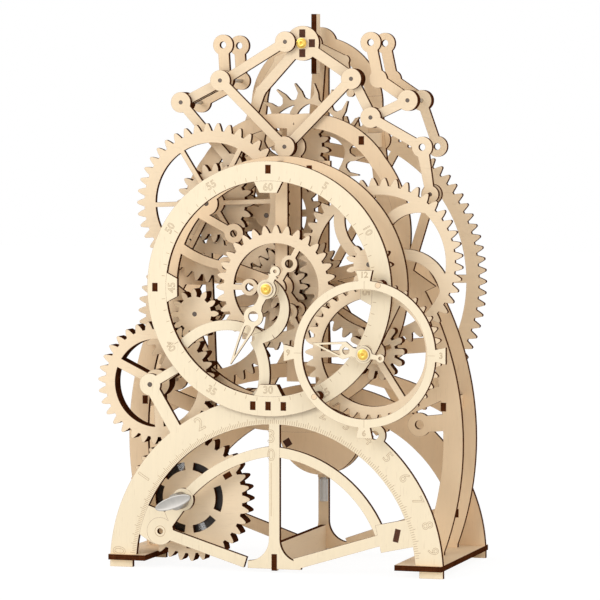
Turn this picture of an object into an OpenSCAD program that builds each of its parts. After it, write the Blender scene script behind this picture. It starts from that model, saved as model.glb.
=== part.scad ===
// A skeleton pendulum clock, assembled from laser-cut birch plywood.
// Front view is along +Y: x to the right, z up, and d counts millimetres back from the dial's face.

/* [Plywood] */
// Thickness of every plywood sheet
ply = 3; // [2.8:0.1:3.2]
// Running clearance around an arbor, on the radius
run = 0.05; // [0.02:0.01:0.1]
// Free space left between pieces that move past each other
air = 1; // [0.6:0.1:1.2]

/* [Gears] */
// Module of the going train
mod_t = 2; // [2:0.01:2.01]
// Pressure angle of all teeth
press = 25; // [24:0.5:26]
// Play between two meshing teeth, along the pitch circle
play = 0.5; // [0.4:0.05:0.6]
// Width of a wheel's rim, inside its teeth
rim_w = 5.5; // [4:0.5:6.5]
// Radius of the thin steel arbors
arbor_r = 1.25; // [1.1:0.05:1.4]
// Radius of a wheel's hub disc
hub_r = 6.5; // [5.5:0.5:7]

/* [Base] */
// Half the width of the base
base_half = 94; // [92:0.5:95]
// Distance of the base's middle to the right of the minute arbor
base_x = 2.5; // [2:0.1:3]
// Height of the rails above the table
rail_z = 4; // [3:0.5:5]
// Width of a rail and of the feet on it
rail_w = 13; // [11:0.5:14]
// Width of the arch's scale band
arch_w = 15; // [13:0.5:16]

/* [Dials] */
// Height of the minute arbor above the table
centre_z = 153.3; // [152.8:0.1:153.8]
// Outer radius of the minute dial
dial_ro = 68.6; // [67.6:0.2:69.6]
// Inner radius of the minute dial
dial_ri = 58; // [57:0.5:59]
// Outer radius of the hour dial
hour_ro = 39.1; // [38.5:0.1:39.5]
// Inner radius of the hour dial
hour_ri = 34.5; // [34:0.1:35]
// Distance from the minute arbor to the hour arbor
hour_dist = 65.6; // [65.2:0.1:66]
// Slope of the line from the minute arbor to the hour arbor
hour_ang = -30.6; // [-31:0.1:-30]

/* [Barrel] */
// Inner radius of the spring chamber
chamber_r = 20.5; // [20:0.1:21]
// Radius of the winding arbor
wind_r = 3; // [2.6:0.1:3.2]
// Thickness of the mainspring strip
spring_t = 0.35; // [0.3:0.05:0.4]
// Turns of the mainspring
spring_turns = 12; // [10:1:12]

/* [Escapement] */
// Tip radius of the escape wheel
escape_ro = 35.2; // [34:0.2:35.4]
// Teeth of the escape wheel
escape_z = 20; // [18:1:22]
// Length of the pendulum from its arbor to the middle of the bob
pend_len = 225; // [223:0.5:226]
// Clear space between the pallets and the tips of the escape wheel
pallet_gap = 2.8; // [2.6:0.1:3.2]

/* [Hidden] */

$fn = 64;
eps = 0.01;
wood = "#e9cfa4";
wood_shade = "#d8b98c";
steel = "#a9abad";
brass = "#d9b34a";

// Free depths between the sheets; the plates stand apart by what turns between them
snug = 0.5;
arch_gap = air + snug;
centre_gap = 3.5;
motion_gap = 2;
layer_gap = 3;
escape_gap = 4;
cross_gap = 2;
cross_t = 7;
crown_gap = 5;
tail_gap = 11;
small_dial_gap = 7;

// Depths behind the dial's face, front to back
d_front_arch = ply;
d_front_gear = d_front_arch + ply + arch_gap;
d_centre = d_front_gear + ply + centre_gap;
d_barrel = d_centre;
d_front_plate = d_barrel + 3 * ply + air;
d_motion = d_front_plate + ply + motion_gap;
d_third = d_motion + ply + layer_gap;
d_second = d_third + ply + layer_gap;
d_middle = d_second + ply + layer_gap;
d_train = d_middle + ply + layer_gap;
d_fourth = d_train + ply + escape_gap;
d_escape = d_fourth + ply + escape_gap;
d_cross = d_escape + ply + cross_gap;
d_rear_plate = d_cross + cross_t + crown_gap;
d_pend = d_rear_plate + ply + layer_gap;
d_rear_arch = d_pend + ply + layer_gap;
d_rear_wheel = d_rear_arch + ply + tail_gap;
d_small_dial = -small_dial_gap - ply;

// A pinion is thicker than the wheel it drives and stands proud of it on both faces
pin_thick = 5;
pin_over = (pin_thick - ply) / 2;

// The small dial's cap is the front end and the rear wheel is the back end
cap_t = 2;
hand_t = 1.5;
hand_air = 0.25;
d_hour_hand = d_small_dial - hand_air - hand_t;
d_front = d_hour_hand - cap_t;
d_back = d_rear_wheel + ply;
y_mid = (d_front + d_back) / 2;

// Tooth counts
z_barrel = 33;
z_great = 32;
z_small = 12;
z_second = 40;
z_third_pin = 20;
z_third = 42;
z_drive = 20;
z_motion = 44;
z_front_pin = 11;
z_hour = 36;
z_centre = 32;
z_train = 26;
z_train_pin = 15;
z_rear = 91;
tooth_add = 0.9;
tooth_ded = 1.2;

function pitch_r(z) = mod_t * z / 2;
function tip_r(z) = pitch_r(z) + mod_t * tooth_add;
function root_r(z) = pitch_r(z) - mod_t * tooth_ded;
function gear_dist(za, zb) = pitch_r(za) + pitch_r(zb);
function polar(r, a) = [r * cos(a), r * sin(a)];
function angle_of(v) = atan2(v[1], v[0]);

// Point at distance rp from p and rq from q; side 1 lies left of the line from p to q
function apex(p, q, rp, rq, side) =
    let (v = q - p, l = norm(v), a = (rp * rp - rq * rq + l * l) / (2 * l),
         h = sqrt(rp * rp - a * a), u = v / l)
    p + u * a + side * h * [-u[1], u[0]];

// Axes of the arbors, as [x, z]
centre = [0, centre_z];
great = [-68.3, 100.1];
barrel = great + polar(gear_dist(z_barrel, z_great), -73.3);
hour = centre + polar(hour_dist, hour_ang);
motion = apex(centre, hour, gear_dist(z_small, z_motion), gear_dist(z_front_pin, z_hour), 1);
second = great + polar(gear_dist(z_great, z_small), 60);
third = apex(centre, second, gear_dist(z_drive, z_third), gear_dist(z_second, z_third_pin), -1);
pend = [4, 285.5];
escape = [0, 229];
train_dist = gear_dist(z_train, z_train_pin);
fourth = apex(centre, escape, train_dist, train_dist, 1);

// The great wheel's teeth reach furthest left and the hour dial's tab furthest right
tab_out = 5.5;
x_mid = (hour[0] + hour_ro + tab_out + great[0] - tip_r(z_great)) / 2;

// Phase that makes gear b at slope t from gear a mesh with gear a, which is turned by pa
function mesh_phase(pa, za, t, zb) = t + 180 - (0.5 - (t - pa) * za / 360) * 360 / zb;

ph_barrel = 0;
ph_great = mesh_phase(ph_barrel, z_barrel, angle_of(great - barrel), z_great);
ph_second = mesh_phase(ph_great, z_great, angle_of(second - great), z_small);
ph_second_w = 0;
ph_third = mesh_phase(ph_second_w, z_second, angle_of(third - second), z_third_pin);
ph_third_w = 0;
ph_drive = mesh_phase(ph_third_w, z_third, angle_of(centre - third), z_drive);
ph_motion_pin = 0;
ph_motion = mesh_phase(ph_motion_pin, z_small, angle_of(motion - centre), z_motion);
ph_front_pin = 0;
ph_hour = mesh_phase(ph_front_pin, z_front_pin, angle_of(hour - motion), z_hour);
ph_centre = 0;
ph_train = 0;
ph_fourth = mesh_phase(ph_train, z_train, angle_of(fourth - centre), z_train_pin);
ph_fourth_w = 0;
ph_escape = mesh_phase(ph_fourth_w, z_train, angle_of(escape - fourth), z_train_pin);

// Half the angle of a tooth at radius r
function inv(a) = tan(a) - a * PI / 180;
function half_tooth(z, r) =
    let (rp = pitch_r(z), rb = rp * cos(press), q = max(r, rb))
    90 / z + (inv(press) - inv(acos(rb / q)) - play / 4 / rp) * 180 / PI;
flank_steps = 4;
tip_round = 0.55;
function tooth(z) =
    let (ro = tip_r(z), ri = root_r(z), rs = max(ri, pitch_r(z) * cos(press)),
         rr = [for (i = [0:flank_steps]) rs + (ro - 0.25 - rs) * i / flank_steps])
    concat([[ri, -half_tooth(z, ri)]],
           [for (r = rr) [r, -half_tooth(z, r)]],
           [[ro, -half_tooth(z, ro) * tip_round], [ro, half_tooth(z, ro) * tip_round]],
           [for (i = [flank_steps:-1:0]) [rr[i], half_tooth(z, rr[i])]],
           [[ri, half_tooth(z, ri)]]);
function gear_points(z) =
    let (t = tooth(z))
    [for (k = [0:z - 1], p = t) polar(p[0], p[1] + k * 360 / z)];

// Centre of the circle through three points
function circle3(a, b, c) =
    let (d = 2 * (a[0] * (b[1] - c[1]) + b[0] * (c[1] - a[1]) + c[0] * (a[1] - b[1])),
         qa = a * a, qb = b * b, qc = c * c)
    [(qa * (b[1] - c[1]) + qb * (c[1] - a[1]) + qc * (a[1] - b[1])) / d,
     (qa * (c[0] - b[0]) + qb * (a[0] - c[0]) + qc * (b[0] - a[0])) / d];
function turn_to(from, to, sign) = sign * (((sign * (to - from)) % 360 + 360) % 360);

// Outline drawn in the front view, cut from a sheet t thick whose front face lies at depth d
module sheet(d, t = ply) {
    translate([-x_mid, d + t - y_mid, 0]) rotate([90, 0, 0]) linear_extrude(t) children();
}

// Round bar along the depth at point p
module rod(p, r, d1, d2) {
    sheet(d1, d2 - d1) translate(p) circle(r);
}

// Straight strip of width w from p to q
module bar(p, q, w) {
    v = q - p;
    translate(p) rotate(angle_of(v)) translate([0, -w / 2]) square([norm(v), w]);
}

// Strip that follows the arc through a, b and c, its width going from w1 to w2
module band(a, b, c, w1, w2, steps = 20) {
    m = circle3(a, b, c);
    r = norm(a - m);
    ta = angle_of(a - m);
    way = turn_to(ta, angle_of(b - m), 1) < turn_to(ta, angle_of(c - m), 1) ? 1 : -1;
    sweep = turn_to(ta, angle_of(c - m), way);
    polygon(concat(
        [for (i = [0:steps]) m + polar(r + (w1 + (w2 - w1) * i / steps) / 2, ta + sweep * i / steps)],
        [for (i = [steps:-1:0]) m + polar(r - (w1 + (w2 - w1) * i / steps) / 2, ta + sweep * i / steps)]));
}

module disc(p, r) {
    translate(p) circle(r);
}

module mirrored() {
    children();
    mirror([1, 0]) children();
}

// Wheel outline with straight spokes
module wheel(z, phase, spokes, spoke_w, bore = arbor_r, rim = rim_w, hub = hub_r) {
    rotate(phase) difference() {
        polygon(gear_points(z));
        difference() {
            circle(root_r(z) - rim);
            circle(hub);
            for (i = [0:spokes - 1]) rotate(i * 360 / spokes + 90 / z) translate([0, -spoke_w / 2])
                square([pitch_r(z), spoke_w]);
        }
        circle(bore);
    }
}

// Wheel outline whose spokes bend one way
module curved_wheel(z, phase, spokes, spoke_w, bend, bore = arbor_r, rim = rim_w, hub = hub_r) {
    reach = root_r(z) - rim / 2;
    low = reach * bend;
    arc_r = norm([reach / 2, low]);
    rotate(phase) difference() {
        polygon(gear_points(z));
        difference() {
            circle(root_r(z) - rim);
            circle(hub);
            for (i = [0:spokes - 1]) rotate(i * 360 / spokes) intersection() {
                translate([reach / 2, -low]) difference() {
                    circle(arc_r + spoke_w / 2);
                    circle(arc_r - spoke_w / 2);
                }
                translate([0, -spoke_w]) square([reach, reach]);
            }
        }
        circle(bore);
    }
}

module pinion(z, phase, bore = arbor_r) {
    rotate(phase) difference() {
        polygon(gear_points(z));
        circle(bore);
    }
}

module at(p) {
    translate(p) children();
}

// Frame

bore_r = arbor_r + run;
boss_r = 6.5;
pin_r = 1.1;
tenon_h = 4.6;
spacer_h = 8;
band_r = (dial_ro + dial_ri) / 2 + 2.2;
band_w = 11;
leg_w = 12;
strut_w = 6;
disc_r = 5.7;
open_r = 1.9;

// Wing joints, as [x, z]
wing_a = [-3.5, 229];
wing_b = [-40.5, 265.2];
wing_c = [-5, 286.3];
wing_d = [-64.3, 253.2];
wing_e = [-34.5, 219.5];
wing_f = [33.5, 266];
wing_g = [44.5, 245];
wing_h = [73.5, 229];
wing_i = [64.5, 254.3];
wing_k = [78, 203.5];
elbow = [-20, 259.5];
crest_left = [-41.7, 284.8];
crest_right = [42.8, 285.8];
crest_knee = [47, 266];

// Tenoned bars that carry the dial on the front plate, as [x, z]
dial_bars = [[0, centre_z + 64.2], [-64.2, centre_z]];
foot_bars = [for (x = [-8.6, 0, 8.6]) [x, centre_z - 63]];
// Bars between the front and the middle plate, then between the middle and the rear plate
low_bars = [polar(band_r, 250) + centre, polar(band_r, 290) + centre];
top_bar = polar(band_r, 76) + centre;
front_bars = concat([top_bar], low_bars);
inner_bars = [[-54, 157], [54, 157]];
rear_bars = concat([[-86.5, 88], [85, 88], [38.5, 232.5]], inner_bars);
// Bars between the rear plate and the rear arch
tail_bars = [[-84.2, 26], [82.6, 26]];

module slots(points, turn = 0) {
    for (p = points) translate(p) rotate(turn) square([ply, tenon_h], center = true);
}

// Plywood bar across the gap between two sheets, its tenons flush with their outer faces
module cross_bar(p, d1, d2, d_tenon1, d_tenon2) {
    sheet(d1, d2 - d1) translate(p) square([ply, spacer_h], center = true);
    sheet(d_tenon1, d1 - d_tenon1) slots([p]);
    sheet(d2, d_tenon2 - d2) slots([p]);
}

module dial_tab() {
    polygon([[dial_ri + 1, -8.5], [dial_ri - 0.4, -8], [51.5, -4.8], [51.5, 4.8], [dial_ri - 0.4, 8],
             [dial_ri + 1, 8.5]]);
}

module minute_dial() {
    color(wood) sheet(0) difference() {
        union() {
            at(centre) difference() {
                circle(dial_ro, $fn = 128);
                circle(dial_ri, $fn = 128);
            }
            for (a = [0, 90, 180, 270]) at(centre) rotate(a) dial_tab();
        }
        slots(dial_bars);
        slots(foot_bars);
        disc(hour, bore_r);
    }
}

post_r = 1.5;
post_points = [centre + polar(64.1, 3), centre + polar(63.5, -63)];

module hour_dial() {
    color(wood) sheet(d_small_dial) difference() {
        at(hour) union() {
            circle(hour_ro, $fn = 96);
            for (a = [0, 90, 180, 270]) rotate(a)
                polygon([[hour_ro - 1, -3], [hour_ro + tab_out, -4.5],
                         [hour_ro + tab_out, 4.5], [hour_ro - 1, 3]]);
        }
        disc(hour, hour_ri, $fn = 96);
        for (p = post_points) disc(p, post_r);
    }
}

module dial_posts() {
    color(wood_shade) for (p = post_points) {
        rod(p, post_r, d_small_dial, 0);
        sheet(d_small_dial + ply, -d_small_dial - ply) translate(p) difference() {
            circle(2.4);
            circle(post_r);
        }
    }
}

arch_top = centre_z - dial_ro + 10.5;
arch_r = base_half;
arch_c = [base_x, arch_top - arch_r];
pad_left = [-62.6, 20.2];
pad_right = [71, 22.4];
key_hub_r = 6.2;

// Semicircular arch with two feet through the rails
module base_arch() {
    intersection() {
        difference() {
            disc(arch_c, arch_r, $fn = 128);
            disc(arch_c, arch_r - arch_w, $fn = 128);
        }
        translate([base_x - base_half, 0]) square([2 * base_half, 2 * base_half]);
    }
}

module foot_cut() {
    translate([base_x, 0]) mirrored() translate([base_half - rail_w - arch_w, -eps])
        square([arch_w, rail_z + ply + eps]);
}

// Post between the arch's crown and its sill, flaring at the foot
module centre_post(top) {
    flare = 12;
    translate([-3, 2]) square([6, top - 2]);
    difference() {
        translate([-3 - flare, 2]) square([6 + 2 * flare, flare + 4]);
        mirrored() disc([3 + flare, flare + 6], flare, $fn = 48);
    }
}

module front_arch() {
    color(wood) sheet(d_front_arch) difference() {
        union() {
            difference() {
                base_arch();
                foot_cut();
            }
            translate([base_x, 0]) centre_post(arch_top - arch_w + 2);
            bar([-14, 5], pad_left, 6);
            bar([14, 5], pad_right, 6);
            disc(pad_left, 7.5);
            polygon([[-81, 22], [-75, 36], [-60, 31], [-56, 22], [-66, 13]]);
            translate(pad_right) rotate(12) square([21, 15], center = true);
            bar(pad_left, barrel, 8);
            disc(barrel, key_hub_r);
            band(barrel, [-25, 57.4], [0, 65.5], 5.5, 5.5);
            band([0, 65.5], [42, 49.5], [62, 22], 5.5, 5.5);
            disc(great, boss_r - 0.5);
            bar(great, [-52, 73], 7);
            bar(great, [-48.4, 111.8], 5);
            disc([58.6, 75.8], 6);
        }
        disc(great, bore_r);
        disc(barrel, wind_r + run);
        disc([58.6, 75.8], 2.3);
        disc(pad_left, 1.6);
        translate([base_x, 5.5]) square([ply, 9], center = true);
        translate(pad_right) rotate(-12) square([ply, 7], center = true);
        slots(foot_bars);
    }
}

module front_bridge() {
    hook = [8.2, centre_z - 9];
    knot = [-8.5, centre_z - 27.5];
    color(wood) sheet(d_front_arch) difference() {
        union() {
            disc(centre, 5.2);
            band(centre + [2, 2.6], hook, [1, centre_z - 24], 4, 6.5);
            band([1, centre_z - 24], [-4, centre_z - 26.3], knot, 6.5, 6);
            band(knot, [-3.2, centre_z - 43], [-4.5, centre_z - 56], 6, 6);
            band([-4, centre_z - 26.3], [-30, centre_z - 20.6], [-49, centre_z - 31], 5, 6);
            translate(centre) polygon([[-12, -66], [-12, -59], [-5, -51.6], [4.8, -51.6], [8, -57.6],
                                       [12, -57.6], [12, -66]]);
        }
        disc(centre, bore_r);
        slots(foot_bars);
        base_gap();
    }
}

// The bridge stops at the arch's crown, which lies in the same plane
module base_gap() {
    disc(arch_c, arch_r, $fn = 128);
}

// Leg of a frame sheet, from its foot through the flank to the shoulder
module leg(foot, flank, shoulder, w1, w2) {
    band(foot, flank, shoulder, w1, w2, 28);
    translate([foot[0] - foot_w / 2, 0]) square([foot_w, foot[1] + 1]);
}

foot_w = 11;
leg_foot = [80, rail_z + ply + 4];
leg_flank = [90.3, 62];
leg_shoulder = [59.5, 166];
rear_shift = -2;
arbor_bores_front = [centre, motion, hour, second, third, great];

module front_plate() {
    stud = [-31.8, 164.2];
    collar = [-27.2, 181.9];
    color(wood_shade) sheet(d_front_plate) difference() {
        union() {
            at(centre) difference() {
                circle(band_r + band_w / 2, $fn = 128);
                circle(band_r - band_w / 2, $fn = 128);
            }
            for (p = arbor_bores_front) disc(p, boss_r);
            disc(barrel, boss_r + 2);
            bar(barrel, centre + polar(band_r, 232), 9);
            bar(great, centre + polar(band_r, 208), 9);
            bar(centre, centre + [0, band_r], strut_w + 1);
            disc(stud, 4.9);
            disc(collar, 5.4);
            band([-60, 175.5], [-45.3, 167.4], stud, 5.4, 4.6);
            bar([-51, 194.6], collar, 4.4);
            bar(stud, centre, 7);
            bar(second, [-62, 150], 8);
            bar(centre, [9.4, 141.2], 5);
            disc([9.4, 141.2], 4);
        }
        for (p = arbor_bores_front) disc(p, bore_r);
        disc(barrel, wind_r + run);
        disc(stud, 2);
        disc(collar, 2);
        disc([9.4, 141.2], 2);
        slots(dial_bars);
        slots(foot_bars);
        slots(front_bars);
    }
}

arbor_bores_middle = [centre, motion, second, third, great, fourth, escape];
crown = [0, 231];

module middle_plate() {
    side_boss = [71.4, 78];
    color(wood_shade) sheet(d_middle) difference() {
        union() {
            mirrored() leg(leg_foot, leg_flank, leg_shoulder, leg_w, 9);
            mirrored() {
                band(leg_shoulder - [0.3, 3], [61, 192], [47, 222], 9, 9);
                band([47.6, 221.4], [31, 237], [0, 242.5], 9, 8);
            }
            for (p = concat(arbor_bores_middle, [hour])) disc(p, boss_r);
            for (p = [wing_a, wing_e]) disc(p, disc_r);
            disc(barrel, boss_r + 2);
            band([-88, 46], [-66, 36], barrel, 9, 9);
            disc(side_boss, boss_r);
            bar(side_boss, [89, 80], 9);
            bar([0, 241], centre, 8);
            bar(third, [-60, 184], 9);
            bar(fourth, escape, 7);
            bar(fourth, third, 7);
            bar(centre, motion, 7);
            bar(motion, [60, 172], 9);
            bar(centre, second, 7);
            bar(second, [-71, 138], 8);
            bar(centre, hour, 7);
            bar(hour, [80, 122], 8);
            bar(great, [-84, 100], 10);
            bar(wing_e, [-32, 235], 8);
            bar([0, centre_z - 2], [0, 100], 8);
            band([-84, 96], [0, 76], [84, 96], 8, 8);
            polygon([[64, 146], [80.4, 153.5], [62, 166]]);
            bar([64, 158], wing_k, 5);
            disc(wing_k, disc_r);
            for (p = low_bars) bar([p[0], 78], p + [0, 4], 10);
            bar([0, top_bar[1]], top_bar + [5, 0], 9);
            bar([-66, 157], inner_bars[0] + [5, 0], 9);
            bar([64, 157], inner_bars[1] - [4, 0], 9);
        }
        for (p = arbor_bores_middle) disc(p, bore_r);
        disc(barrel, wind_r + run);
        for (p = [wing_a, wing_e, wing_k]) disc(p, pin_r);
        disc(side_boss, 2.4);
        slots(front_bars);
        slots(rear_bars);
    }
}

arbor_bores_rear = [centre, fourth, escape, pend];

module rear_plate() {
    dome = [2, 252];
    dome_r = 33.5;
    color(wood_shade) sheet(d_rear_plate) difference() {
        union() {
            translate([rear_shift, 0]) mirrored() {
                leg(leg_foot, leg_flank, leg_shoulder, leg_w, 9);
                bar(leg_shoulder, [45, 180], 9);
            }
            band([-45, 176], [-37, 214], dome + polar(dome_r, 172), 9, 9);
            band([45, 176], [39, 214], dome + polar(dome_r, 8), 9, 9);
            at(dome) intersection() {
                difference() {
                    circle(dome_r + 4.5, $fn = 96);
                    circle(dome_r - 4.5, $fn = 96);
                }
                translate([-60, 0]) square([120, 60]);
            }
            bar(dome + [-dome_r, 2], dome + polar(dome_r, 172), 9);
            bar(dome + [dome_r, 2], dome + polar(dome_r, 8), 9);
            disc(pend, 9.5);
            for (p = arbor_bores_rear) disc(p, boss_r);
            bar(pend, escape, 7);
            bar(escape, fourth, 7);
            bar(escape, [37, 222], 7);
            bar(fourth, [-41, 186], 8);
            bar(centre, [-55, 158], 8);
            bar(centre, [55, 158], 8);
            bar(centre, fourth, 7);
            band([-91, 79], [0, 104], [88, 79], 8, 8);
            for (p = rear_bars) disc(p, 6);
            for (p = inner_bars) bar(p - [p[0] > 0 ? 8 : -8, 0], p + [p[0] > 0 ? 7 : -7, 0], 10);
        }
        for (p = arbor_bores_rear) disc(p, bore_r);
        slots(rear_bars);
        slots(tail_bars);
    }
}

module rear_arch() {
    color(wood_shade) sheet(d_rear_arch) difference() {
        union() {
            difference() {
                base_arch();
                foot_cut();
            }
            translate([base_x, 0]) {
                centre_post(arch_top - arch_w + 2);
                bar([-14, 5], [-74, 26], 7);
                bar([14, 5], [74, 26], 7);
            }
            bar([base_x, arch_top - 3], centre, 9);
            disc(centre, boss_r + 1);
        }
        disc(centre, bore_r);
        slots(tail_bars);
        translate([base_x, 5.5]) square([ply, 9], center = true);
    }
}

rail_front = d_front_arch - 3;
rail_back = d_rear_arch + ply + 3;

// Rails and the stay between the two arches; feet pass down through the rails
module base_rails() {
    color(wood_shade) {
        for (s = [-1, 1]) translate([-x_mid, 0, 0]) difference() {
            translate([s > 0 ? rail_in : base_x - base_half, rail_front - y_mid, rail_z])
                cube([base_half - rail_in + s * base_x, rail_back - rail_front, ply]);
            for (d = [d_front_arch, d_rear_arch])
                foot_hole(base_x + s * (base_half - rail_w / 2), d, rail_w);
            foot_hole(s * leg_foot[0], d_middle, foot_w);
            foot_hole(s * leg_foot[0] + rear_shift, d_rear_plate, foot_w);
        }
        sheet_stay();
    }
}

rail_in = 70.5;

module foot_hole(x, d, w) {
    translate([x - w / 2, d - y_mid, 0]) cube([w, ply, 3 * rail_z]);
}

// Upright sheet along the depth that ties the sills of the two arches
module sheet_stay() {
    translate([base_x - ply / 2 - x_mid, 0, 0]) {
        translate([0, d_front_arch + ply - y_mid, 1.5])
            cube([ply, d_rear_arch - d_front_arch - ply, 14]);
        translate([0, d_front_arch - y_mid, 1])
            cube([ply, ply, 9]);
        translate([0, d_rear_arch - y_mid, 1])
            cube([ply, ply, 9]);
    }
}

module plate_spacers() {
    color(wood) {
        for (p = dial_bars) cross_bar(p, ply, d_front_plate, 0, d_front_plate + ply);
        for (p = foot_bars) cross_bar(p, d_front_arch + ply, d_front_plate, 0, d_front_plate + ply);
        for (p = front_bars)
            cross_bar(p, d_front_plate + ply, d_middle, d_front_plate, d_middle + ply);
        for (p = rear_bars)
            cross_bar(p, d_middle + ply, d_rear_plate, d_middle, d_rear_plate + ply);
        for (p = tail_bars)
            cross_bar(p, d_rear_plate + ply, d_rear_arch, d_rear_plate, d_rear_arch + ply);
    }
}

// Crown linkage; its struts are pinned at both ends, so it stands still

d_links = d_middle - ply;
d_struts = d_links - ply;
d_bracket = d_middle + ply;
d_crest = d_bracket;
crest_back = 29;

module link(p, q, w = strut_w - 0.8) {
    difference() {
        union() {
            bar(p, q, w);
            disc(p, disc_r);
            disc(q, disc_r);
        }
        disc(p, pin_r);
        disc(q, pin_r);
    }
}

// Bearing disc over the crown, with the two arms of the inverted V
module top_bracket() {
    color(wood) sheet(d_bracket) difference() {
        union() {
            disc(pend, 9.5);
            bar(pend, elbow, 5.6);
            bar(elbow, wing_e, 5.6);
            disc(elbow, 3.1);
            bar(pend, wing_f, 5.6);
            disc(wing_e, disc_r);
            disc(wing_f, disc_r);
        }
        disc(pend, bore_r);
        disc(wing_e, pin_r);
        disc(wing_f, pin_r);
    }
}

// Long rod from the bearing disc over the knee to the wing's tip
module wing_rod() {
    color(wood) sheet(d_middle) difference() {
        union() {
            bar(wing_c, wing_b, 5.2);
            bar(wing_b, wing_d, 5.2);
            disc(wing_b, disc_r);
            disc(wing_c, disc_r);
            disc(wing_d, disc_r);
        }
        disc(wing_b, pin_r);
        disc(wing_c, pin_r);
        disc(wing_d, pin_r);
    }
}

module wing_struts() {
    color(wood) {
        sheet(d_struts) link(wing_b, wing_a);
        sheet(d_links) link(wing_f, wing_a);
        sheet(d_links) link(wing_d, wing_e);
    }
}

module wing_links() {
    color(wood) {
        sheet(d_middle) link(wing_f, wing_g);
        sheet(d_middle) link(wing_i, wing_g);
        sheet(d_links) difference() {
            union() {
                link(wing_g, wing_h);
                disc(wing_h, disc_r);
                polygon([wing_h + [-3.4, 0], wing_h + [3.4, 0], wing_k + [2.4, 0], wing_k - [2.4, 0]]);
                disc(wing_k, disc_r - 1);
            }
            disc(wing_h, open_r);
            disc(wing_k, pin_r);
        }
        sheet(d_crest + crest_back - ply) difference() {
            link(wing_i, wing_h);
            disc(wing_h, open_r);
        }
    }
}

// Ring-headed plate that rises over each wing
module crest(ring, knee, tip) {
    difference() {
        union() {
            disc(ring, disc_r);
            bar(ring, knee, 6);
            disc(knee, disc_r - 0.7);
            bar(knee, tip, 6);
            disc(tip, disc_r);
        }
        disc(ring, open_r);
        disc(tip, pin_r);
    }
}

module crest_plates() {
    color(wood_shade) {
        for (d = [d_crest, d_crest + crest_back]) {
            sheet(d) difference() {
                crest(crest_left, wing_b, wing_d);
                disc(wing_b, pin_r);
            }
            sheet(d) crest(crest_right, crest_knee, wing_i);
        }
    }
}

// Steel pins through the links, from the first sheet to the last that each one holds
module wing_pins() {
    color(steel) {
        rod(wing_a, pin_r, d_struts, d_middle + ply);
        rod(wing_b, pin_r, d_struts, d_crest + crest_back + ply);
        rod(wing_c, pin_r, d_middle, d_bracket);
        rod(wing_d, pin_r, d_links, d_crest + crest_back + ply);
        rod(wing_e, pin_r, d_links, d_bracket + ply);
        rod(wing_f, pin_r, d_links, d_bracket + ply);
        rod(wing_g, pin_r, d_links, d_middle + ply);
        rod(wing_i, pin_r, d_middle, d_crest + crest_back + ply);
        rod(wing_k, pin_r, d_links, d_middle + ply);
    }
}

// Spring barrel and winding

key_d = -5.2;
wind_back = d_middle + ply + 1;

module winding_key() {
    color(steel) {
        sheet(key_d - 3, 9) at(barrel) difference() {
            circle(wind_r + 1.6);
            circle(wind_r);
        }
        key_wing();
    }
}

// Flat thumb plate of the key, seen from the front as a slim oval
module key_wing() {
    at_3d(barrel, key_d - 3) rotate([0, -20, 0]) rotate([90, 0, 0]) linear_extrude(5.5)
        scale([1, 0.26]) circle(10.5);
}

module at_3d(p, d) {
    translate([p[0] - x_mid, d - y_mid, p[1]]) children();
}

module winding_arbor() {
    color(steel) rod(barrel, wind_r, key_d - 3, wind_back);
}

barrel_bore = wind_r + run;
slot_r = 17.3;

// Three toothed plates; the outer two carry the six curved windows
module barrel_wheel() {
    color(wood) for (i = [0:2]) sheet(d_barrel + i * ply) at(barrel) rotate(ph_barrel) difference() {
        polygon(gear_points(z_barrel));
        if (i == 1) {
            circle(chamber_r + 3);
        } else {
            circle(barrel_bore);
            windows();
            for (k = [0:2]) rotate(k * 120 + 30) translate([chamber_r + 5, 0])
                square([tenon_h, ply], center = true);
        }
    }
}

module windows() {
    for (k = [0:5]) rotate(k * 60) intersection() {
        difference() {
            circle(slot_r + 2.1);
            circle(slot_r - 2.1);
        }
        rotate(-22) polygon([[0, 0], [30, 0], polar(34, 22), polar(30, 44)]);
    }
}

// Drum wall between the toothed plates, with the hook post that holds the spring's outer end
module barrel_drum() {
    color(wood_shade) {
        sheet(d_barrel + ply) at(barrel) difference() {
            circle(chamber_r + 3);
            circle(chamber_r);
        }
        for (k = [0:2]) sheet(d_barrel, ply) at(barrel) rotate(ph_barrel + k * 120 + 30)
            translate([chamber_r + 5, 0]) square([tenon_h, ply], center = true);
        for (k = [0:2]) sheet(d_barrel + 2 * ply, ply) at(barrel) rotate(ph_barrel + k * 120 + 30)
            translate([chamber_r + 5, 0]) square([tenon_h, ply], center = true);
    }
}

spring_in = wind_r + 0.9;
spring_out = chamber_r - 0.5;
spring_h = ply - 0.6;
spring_pitch = (spring_out - spring_in - spring_t) / spring_turns;
spring_gap = spring_pitch - spring_t;
echo(str("least gap between the turns of the mainspring: ", spring_gap, " mm"));
spring_steps = 24;

// Mainspring, one unbroken strip wound from the arbor out to the drum
module mainspring() {
    n = spring_turns * spring_steps;
    inner = [for (i = [0:n]) polar(spring_in + spring_pitch * i / spring_steps, i * 360 / spring_steps)];
    outer = [for (i = [n:-1:0])
        polar(spring_in + spring_t + spring_pitch * i / spring_steps, i * 360 / spring_steps)];
    color(steel) sheet(d_barrel + ply + 0.3, spring_h) at(barrel) polygon(concat(inner, outer));
}

// Going train

module great_arbor() {
    color(steel) rod(great, arbor_r, d_front_arch, d_middle + ply + snug);
}

module great_wheel() {
    color(wood) for (i = [0:2]) sheet(d_barrel + i * ply)
        at(great) wheel(z_great, ph_great, 3, 5, hub = hub_r + 1);
}

module second_arbor() {
    color(steel) rod(second, arbor_r, d_barrel, d_middle + ply + snug);
}

module second_pinion() {
    color(wood) sheet(d_barrel, 3 * ply) at(second) pinion(z_small, ph_second);
}

module second_wheel() {
    color(wood) sheet(d_second) at(second) wheel(z_second, ph_second_w, 4, 4);
}

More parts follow.
